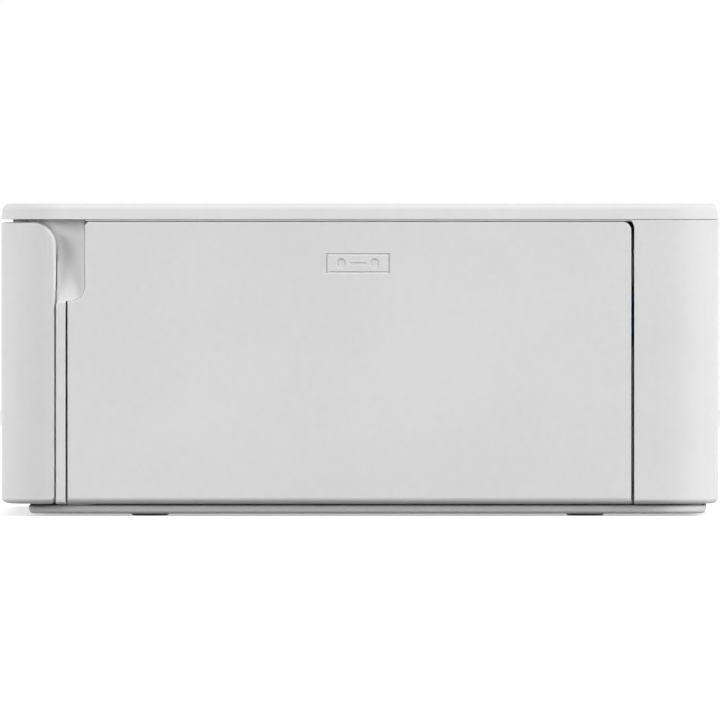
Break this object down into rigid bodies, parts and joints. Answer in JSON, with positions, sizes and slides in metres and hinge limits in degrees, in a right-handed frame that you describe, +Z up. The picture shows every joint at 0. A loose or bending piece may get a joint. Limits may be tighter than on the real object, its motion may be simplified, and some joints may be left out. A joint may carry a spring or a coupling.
{
  "type": "compact photo printer",
  "caption": "Compact photo printer: flat case with a hinged ink door, a drop-down front door, a keypad and display, and its print mechanism inside.",
  "frame": {"origin": "middle of the footprint, on the surface that the feet stand on", "axes": "+X from the left side to the ink door, +Y from the front door to the back, +Z up"},
  "size_m": [0.1822, 0.133, 0.0579],
  "materials": {
    "shell_white": "fine satin moulded plastic",
    "base_grey": "matt moulded plastic",
    "foot_rubber": "matt rubber",
    "glass_black": "gloss black window",
    "key_grey": "satin keys",
    "sheet_steel": "zinc plated sheet",
    "bright_steel": "ground steel",
    "board_green": "solder mask",
    "black_plastic": "moulded plastic",
    "frame_grey": "moulded plastic",
    "acetal": "white acetal",
    "brass": "turned",
    "roller_rubber": "ground rubber",
    "heat_aluminium": "extruded",
    "ceramic": "glazed ceramic",
    "cassette_blue": "moulded plastic",
    "ribbon_blue": "dyed film",
    "ribbon_gold": "dyed film"
  },
  "bodies": {
    "case": {"base_tray": "base_grey", "rubber_feet": "foot_rubber", "main_shell": "shell_white", "front_frame": "shell_white", "top_cover": "shell_white", "front_door_pins": "bright_steel", "flap_rod": "bright_steel", "flap_spring": "bright_steel", "hinge_bracket": "shell_white", "ink_door_pins": "bright_steel", "lcd_glass": "glass_black", "lcd_module": "black_plastic", "button_board": "board_green", "main_board": "board_green", "dc_inlet": "black_plastic", "card_slot": "sheet_steel", "usb_port": "sheet_steel", "fan_frame": "black_plastic", "left_plate": "sheet_steel", "right_plate": "sheet_steel", "cross_stays": "sheet_steel", "case_screws": "bright_steel", "paper_bay": "frame_grey", "rear_guide": "frame_grey", "roller_bushes": "brass", "idler_stud": "bright_steel", "motor_bracket": "sheet_steel", "feed_motor": "bright_steel", "pivot_rods": "bright_steel"},
    "ink_door": {"ink_door": "shell_white"},
    "front_door": {"front_door": "shell_white"},
    "inner_flap": {"inner_flap": "frame_grey"},
    "ink_cassette": {"cassette_frame": "cassette_blue", "ribbon_film": "ribbon_gold"},
    "supply_spool": {"supply_spool": "black_plastic"},
    "take_up_spool": {"take_up_spool": "ribbon_blue"},
    "take_up_hub": {"take_up_hub": "acetal"},
    "print_head": {"head_arm": "sheet_steel", "heat_sink": "heat_aluminium", "thermal_head": "ceramic"},
    "platen": {"platen_roller": "roller_rubber", "platen_gear": "acetal"},
    "grip": {"grip_roller": "bright_steel", "grip_gear": "acetal"},
    "idler": {"idler_gear": "acetal"},
    "pinion": {"motor_pinion": "brass"},
    "pinch": {"pinch_roller": "roller_rubber"},
    "pickup_arm": {"pickup_arm": "frame_grey"},
    "pickup_roller": {"pickup_roller": "roller_rubber"},
    "cassette_lever": {"cassette_lever": "frame_grey"},
    "fan_rotor": {"fan_rotor": "black_plastic"},
    "power_button": {"power_button": "key_grey"},
    "menu_button": {"menu_button": "key_grey"},
    "edit_button": {"edit_button": "key_grey"},
    "print_button": {"print_button": "key_grey"},
    "ok_button": {"ok_button": "key_grey"},
    "key_up": {"key_up": "key_grey"},
    "key_down": {"key_down": "key_grey"},
    "key_left": {"key_left": "key_grey"},
    "key_right": {"key_right": "key_grey"}
  },
  "joints": [
    {"name": "ink_door_hinge", "type": "hinge", "parent": "case", "child": "ink_door", "pos_m": [0.0889, 0.0448, 0.0285], "axis": [0, 0, 1], "range_deg": [0, 100]},
    {"name": "front_door_hinge", "type": "hinge", "parent": "case", "child": "front_door", "pos_m": [0, -0.0632, 0.004], "axis": [1, 0, 0], "range_deg": [0, 90]},
    {"name": "inner_flap_hinge", "type": "hinge", "parent": "case", "child": "inner_flap", "pos_m": [0.0178, -0.05365, 0.024], "axis": [1, 0, 0], "range_deg": [0, 85], "stiffness_Nm_per_rad": 0.002, "springref_deg": -22.92},
    {"name": "power_button_press", "type": "slide", "parent": "case", "child": "power_button", "axis": [0, 0, -1], "range_m": [0, 0.0005], "stiffness_N_per_m": 400, "springref_m": -0.0005},
    {"name": "menu_button_press", "type": "slide", "parent": "case", "child": "menu_button", "axis": [0, 0, -1], "range_m": [0, 0.0005], "stiffness_N_per_m": 400, "springref_m": -0.0005},
    {"name": "edit_button_press", "type": "slide", "parent": "case", "child": "edit_button", "axis": [0, 0, -1], "range_m": [0, 0.0005], "stiffness_N_per_m": 400, "springref_m": -0.0005},
    {"name": "print_button_press", "type": "slide", "parent": "case", "child": "print_button", "axis": [0, 0, -1], "range_m": [0, 0.0005], "stiffness_N_per_m": 400, "springref_m": -0.0005},
    {"name": "ok_button_press", "type": "slide", "parent": "case", "child": "ok_button", "axis": [0, 0, -1], "range_m": [0, 0.0005], "stiffness_N_per_m": 400, "springref_m": -0.0005},
    {"name": "key_up_press", "type": "slide", "parent": "case", "child": "key_up", "axis": [0, 0, -1], "range_m": [0, 0.0005], "stiffness_N_per_m": 400, "springref_m": -0.0005},
    {"name": "key_down_press", "type": "slide", "parent": "case", "child": "key_down", "axis": [0, 0, -1], "range_m": [0, 0.0005], "stiffness_N_per_m": 400, "springref_m": -0.0005},
    {"name": "key_left_press", "type": "slide", "parent": "case", "child": "key_left", "axis": [0, 0, -1], "range_m": [0, 0.0005], "stiffness_N_per_m": 400, "springref_m": -0.0005},
    {"name": "key_right_press", "type": "slide", "parent": "case", "child": "key_right", "axis": [0, 0, -1], "range_m": [0, 0.0005], "stiffness_N_per_m": 400, "springref_m": -0.0005},
    {"name": "ink_cassette_slide", "type": "slide", "parent": "case", "child": "ink_cassette", "axis": [1, 0, 0], "range_m": [0, 0.004]},
    {"name": "supply_spool_spin", "type": "hinge", "parent": "ink_cassette", "child": "supply_spool", "pos_m": [0.0178, -0.015, 0.037], "axis": [1, 0, 0], "continuous": true},
    {"name": "take_up_spool_spin", "type": "hinge", "parent": "ink_cassette", "child": "take_up_spool", "pos_m": [0.0178, 0.039, 0.037], "axis": [1, 0, 0], "continuous": true},
    {"name": "take_up_hub_spin", "type": "hinge", "parent": "case", "child": "take_up_hub", "pos_m": [-0.043, 0.039, 0.037], "axis": [1, 0, 0], "continuous": true},
    {"name": "print_head_hinge", "type": "hinge", "parent": "case", "child": "print_head", "pos_m": [0.0178, 0.052, 0.0491], "axis": [1, 0, 0], "range_deg": [0, 5], "stiffness_Nm_per_rad": 1.2, "springref_deg": -3.44},
    {"name": "platen_spin", "type": "hinge", "parent": "case", "child": "platen", "pos_m": [0.0178, 0.012, 0.0198], "axis": [1, 0, 0], "continuous": true},
    {"name": "grip_spin", "type": "hinge", "parent": "case", "child": "grip", "pos_m": [0.0178, 0.032, 0.017], "axis": [1, 0, 0], "continuous": true},
    {"name": "idler_spin", "type": "hinge", "parent": "case", "child": "idler", "pos_m": [-0.0482, 0.02357, 0.02965], "axis": [1, 0, 0], "continuous": true},
    {"name": "motor_spin", "type": "hinge", "parent": "case", "child": "pinion", "pos_m": [-0.0482, 0.01318, 0.03565], "axis": [1, 0, 0], "continuous": true},
    {"name": "pinch_spin", "type": "hinge", "parent": "case", "child": "pinch", "pos_m": [0.0178, 0.032, 0.0233], "axis": [1, 0, 0], "continuous": true},
    {"name": "pickup_arm_hinge", "type": "hinge", "parent": "case", "child": "pickup_arm", "pos_m": [0.0178, -0.046, 0.0371], "axis": [1, 0, 0], "range_deg": [-8, 0], "stiffness_Nm_per_rad": 0.03, "springref_deg": 2.86},
    {"name": "pickup_roller_spin", "type": "hinge", "parent": "pickup_arm", "child": "pickup_roller", "pos_m": [0.0178, -0.031, 0.0271], "axis": [1, 0, 0], "continuous": true},
    {"name": "cassette_lever_hinge", "type": "hinge", "parent": "case", "child": "cassette_lever", "pos_m": [0.0825, -0.044, 0.0421], "axis": [1, 0, 0], "range_deg": [0, 20], "stiffness_Nm_per_rad": 0.01, "springref_deg": -11.46},
    {"name": "fan_spin", "type": "hinge", "parent": "case", "child": "fan_rotor", "pos_m": [-0.085, 0.0355, 0.0261], "axis": [1, 0, 0], "continuous": true}
  ],
  "couplings": [
    {"joint": "take_up_hub_spin", "follows": "take_up_spool_spin", "ratio": 1},
    {"joint": "grip_spin", "follows": "platen_spin", "ratio": 1},
    {"joint": "idler_spin", "follows": "platen_spin", "ratio": -0.9},
    {"joint": "motor_spin", "follows": "platen_spin", "ratio": 1.8},
    {"joint": "pinch_spin", "follows": "platen_spin", "ratio": -2}
  ]
}
